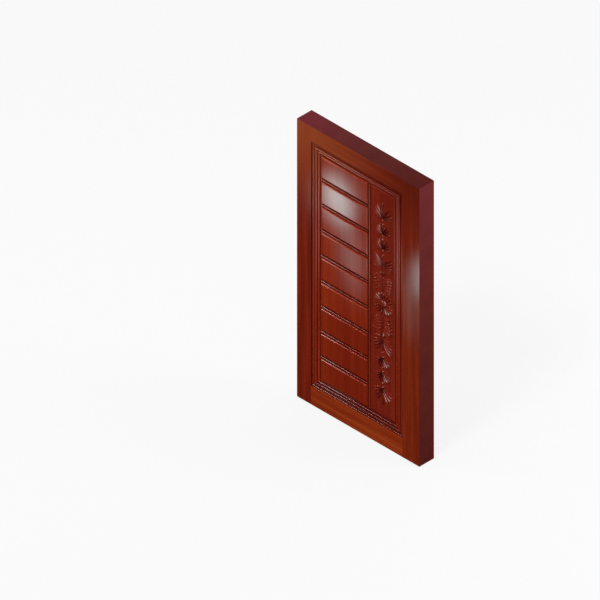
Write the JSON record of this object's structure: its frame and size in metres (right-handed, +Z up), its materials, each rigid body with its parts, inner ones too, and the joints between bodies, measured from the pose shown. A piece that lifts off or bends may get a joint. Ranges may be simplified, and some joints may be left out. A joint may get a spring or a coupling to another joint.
{
  "type": "wooden door leaf",
  "caption": "Tall framed wooden door leaf with stacked raised panels, a mitred moulding and a carved garland board, to be hung on hinges in a doorway.",
  "frame": {"origin": "middle of the leaf's foot: half its width, half its depth, on the floor", "axes": "+Z up, front face towards -Y, +X to the right seen from the front"},
  "size_m": [1.068, 0.128, 2.1],
  "materials": {
    "stile_wood": "red-brown mahogany with upright grain under gloss lacquer",
    "rail_wood": "red-brown mahogany with level grain under gloss lacquer",
    "sheet_wood": "red-brown mahogany veneer under gloss lacquer",
    "moulding_wood": "red-brown mahogany mouldings under gloss lacquer",
    "panel_wood": "bright red-brown mahogany with upright grain under gloss lacquer",
    "strip_wood": "red-brown mahogany strips under gloss lacquer",
    "carved_wood": "red-brown mahogany, carved, dark in the hollows, under gloss lacquer",
    "core_wood": "bare softwood, unfinished"
  },
  "bodies": {
    "root": {"left_stile": "stile_wood", "right_stile": "stile_wood", "top_rail": "rail_wood", "bottom_rail": "rail_wood", "front_sheet": "sheet_wood", "back_sheet": "sheet_wood", "dowels": "core_wood", "ledge_1": "core_wood", "ledge_2": "core_wood", "ledge_3": "core_wood", "ledge_4": "core_wood", "moulding_left": "moulding_wood", "moulding_right": "moulding_wood", "moulding_top": "moulding_wood", "moulding_bottom": "moulding_wood", "panel_1": "panel_wood", "panel_2": "panel_wood", "panel_3": "panel_wood", "panel_4": "panel_wood", "panel_5": "panel_wood", "panel_6": "panel_wood", "panel_7": "panel_wood", "panel_8": "panel_wood", "panel_9": "panel_wood", "cross_strip_1": "strip_wood", "cross_strip_2": "strip_wood", "cross_strip_3": "strip_wood", "cross_strip_4": "strip_wood", "cross_strip_5": "strip_wood", "cross_strip_6": "strip_wood", "cross_strip_7": "strip_wood", "cross_strip_8": "strip_wood", "divider_strip": "strip_wood", "carved_board": "carved_wood"}
  },
  "joints": []
}
